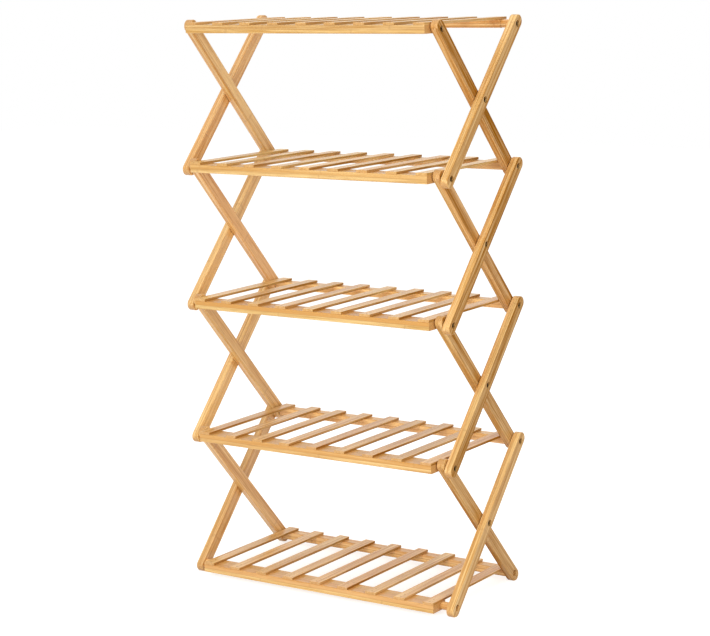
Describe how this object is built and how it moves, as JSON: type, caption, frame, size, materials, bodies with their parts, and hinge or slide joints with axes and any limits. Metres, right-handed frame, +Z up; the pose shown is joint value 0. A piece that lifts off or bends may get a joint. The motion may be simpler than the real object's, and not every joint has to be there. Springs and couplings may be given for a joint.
{
  "type": "folding shoe rack",
  "caption": "Free-standing bamboo shoe rack: slatted flip-up shelves carried at both ends by crossed bars that fold flat like a scissor lattice.",
  "frame": {"origin": "on the floor, under the middle of the open rack's bounding box", "axes": "+Z up, -Y towards the front rails, +X to the right of someone facing the rack"},
  "size_m": [0.5, 0.2438, 0.9133],
  "materials": {
    "bamboo": "clear lacquer, satin",
    "steel": "blackened",
    "nylon": "matte"
  },
  "bodies": {
    "lowest_back_rail": {"back_rail_1": "bamboo", "back_bolts_1": "steel"},
    "inner_bars_1": {"inner_bar_left_1": "bamboo", "inner_bar_right_1": "bamboo", "rail_washers_1": "nylon", "centre_bolts_1": "steel"},
    "outer_bars_1": {"outer_bar_left_1": "bamboo", "outer_bar_right_1": "bamboo", "bar_washers_1": "nylon", "bottom_spacers": "bamboo"},
    "inner_bars_2": {"inner_bar_left_2": "bamboo", "inner_bar_right_2": "bamboo", "rail_washers_2": "nylon", "centre_bolts_2": "steel"},
    "outer_bars_2": {"outer_bar_left_2": "bamboo", "outer_bar_right_2": "bamboo", "bar_washers_2": "nylon"},
    "inner_bars_3": {"inner_bar_left_3": "bamboo", "inner_bar_right_3": "bamboo", "rail_washers_3": "nylon", "centre_bolts_3": "steel"},
    "outer_bars_3": {"outer_bar_left_3": "bamboo", "outer_bar_right_3": "bamboo", "bar_washers_3": "nylon"},
    "inner_bars_4": {"inner_bar_left_4": "bamboo", "inner_bar_right_4": "bamboo", "rail_washers_4": "nylon", "centre_bolts_4": "steel"},
    "outer_bars_4": {"outer_bar_left_4": "bamboo", "outer_bar_right_4": "bamboo", "bar_washers_4": "nylon"},
    "shelf_1": {"front_rail_1": "bamboo", "slats_1": "bamboo", "slat_nails_1": "steel", "front_bolts_1": "steel"},
    "back_rail_2": {"back_rail_2": "bamboo", "back_bolts_2": "steel"},
    "shelf_2": {"front_rail_2": "bamboo", "slats_2": "bamboo", "slat_nails_2": "steel", "front_bolts_2": "steel"},
    "back_rail_3": {"back_rail_3": "bamboo", "back_bolts_3": "steel"},
    "shelf_3": {"front_rail_3": "bamboo", "slats_3": "bamboo", "slat_nails_3": "steel", "front_bolts_3": "steel"},
    "back_rail_4": {"back_rail_4": "bamboo", "back_bolts_4": "steel"},
    "shelf_4": {"front_rail_4": "bamboo", "slats_4": "bamboo", "slat_nails_4": "steel", "front_bolts_4": "steel"},
    "back_rail_5": {"back_rail_5": "bamboo", "back_bolts_5": "steel", "top_spacers": "bamboo"},
    "shelf_5": {"front_rail_5": "bamboo", "slats_5": "bamboo", "slat_nails_5": "steel", "front_bolts_5": "steel"}
  },
  "joints": [
    {"name": "fold", "type": "hinge", "parent": "lowest_back_rail", "child": "inner_bars_1", "pos_m": [0, 0.1081, 0.01322], "axis": [-1, 0, 0], "range_deg": [0, 37.5]},
    {"name": "cross_1", "type": "hinge", "parent": "inner_bars_1", "child": "outer_bars_1", "pos_m": [0, 0.0066, 0.12397], "axis": [1, 0, 0], "range_deg": [0, 75]},
    {"name": "link_2", "type": "hinge", "parent": "inner_bars_1", "child": "outer_bars_2", "pos_m": [0, -0.0949, 0.23472], "axis": [1, 0, 0], "range_deg": [0, 75]},
    {"name": "cross_2", "type": "hinge", "parent": "outer_bars_2", "child": "inner_bars_2", "pos_m": [0, 0.0066, 0.34547], "axis": [-1, 0, 0], "range_deg": [0, 75]},
    {"name": "link_3", "type": "hinge", "parent": "inner_bars_2", "child": "outer_bars_3", "pos_m": [0, -0.0949, 0.45622], "axis": [1, 0, 0], "range_deg": [0, 75]},
    {"name": "cross_3", "type": "hinge", "parent": "outer_bars_3", "child": "inner_bars_3", "pos_m": [0, 0.0066, 0.56697], "axis": [-1, 0, 0], "range_deg": [0, 75]},
    {"name": "link_4", "type": "hinge", "parent": "inner_bars_3", "child": "outer_bars_4", "pos_m": [0, -0.0949, 0.67772], "axis": [1, 0, 0], "range_deg": [0, 75]},
    {"name": "cross_4", "type": "hinge", "parent": "outer_bars_4", "child": "inner_bars_4", "pos_m": [0, 0.0066, 0.78847], "axis": [-1, 0, 0], "range_deg": [0, 75]},
    {"name": "back_level_2", "type": "hinge", "parent": "outer_bars_1", "child": "back_rail_2", "pos_m": [0, 0.1081, 0.23472], "axis": [-1, 0, 0], "range_deg": [0, 37.5]},
    {"name": "back_level_3", "type": "hinge", "parent": "outer_bars_2", "child": "back_rail_3", "pos_m": [0, 0.1081, 0.45622], "axis": [-1, 0, 0], "range_deg": [0, 37.5]},
    {"name": "back_level_4", "type": "hinge", "parent": "outer_bars_3", "child": "back_rail_4", "pos_m": [0, 0.1081, 0.67772], "axis": [-1, 0, 0], "range_deg": [0, 37.5]},
    {"name": "back_level_5", "type": "hinge", "parent": "outer_bars_4", "child": "back_rail_5", "pos_m": [0, 0.1081, 0.89922], "axis": [-1, 0, 0], "range_deg": [0, 37.5]},
    {"name": "shelf_1_lift", "type": "hinge", "parent": "outer_bars_1", "child": "shelf_1", "pos_m": [0, -0.0949, 0.01322], "axis": [1, 0, 0], "range_deg": [0, 52.5]},
    {"name": "shelf_2_lift", "type": "hinge", "parent": "outer_bars_2", "child": "shelf_2", "pos_m": [0, -0.0949, 0.23472], "axis": [1, 0, 0], "range_deg": [0, 52.5]},
    {"name": "shelf_3_lift", "type": "hinge", "parent": "outer_bars_3", "child": "shelf_3", "pos_m": [0, -0.0949, 0.45622], "axis": [1, 0, 0], "range_deg": [0, 52.5]},
    {"name": "shelf_4_lift", "type": "hinge", "parent": "outer_bars_4", "child": "shelf_4", "pos_m": [0, -0.0949, 0.67772], "axis": [1, 0, 0], "range_deg": [0, 52.5]},
    {"name": "shelf_5_lift", "type": "hinge", "parent": "inner_bars_4", "child": "shelf_5", "pos_m": [0, -0.0949, 0.89922], "axis": [1, 0, 0], "range_deg": [0, 127.5]}
  ],
  "couplings": [
    {"joint": "cross_1", "follows": "fold", "ratio": 2},
    {"joint": "link_2", "follows": "fold", "ratio": 2},
    {"joint": "cross_2", "follows": "fold", "ratio": 2},
    {"joint": "link_3", "follows": "fold", "ratio": 2},
    {"joint": "cross_3", "follows": "fold", "ratio": 2},
    {"joint": "link_4", "follows": "fold", "ratio": 2},
    {"joint": "cross_4", "follows": "fold", "ratio": 2},
    {"joint": "back_level_2", "follows": "fold", "ratio": 1},
    {"joint": "back_level_3", "follows": "fold", "ratio": 1},
    {"joint": "back_level_4", "follows": "fold", "ratio": 1},
    {"joint": "back_level_5", "follows": "fold", "ratio": 1},
    {"joint": "shelf_5_lift", "follows": "fold", "ratio": 3.4}
  ]
}
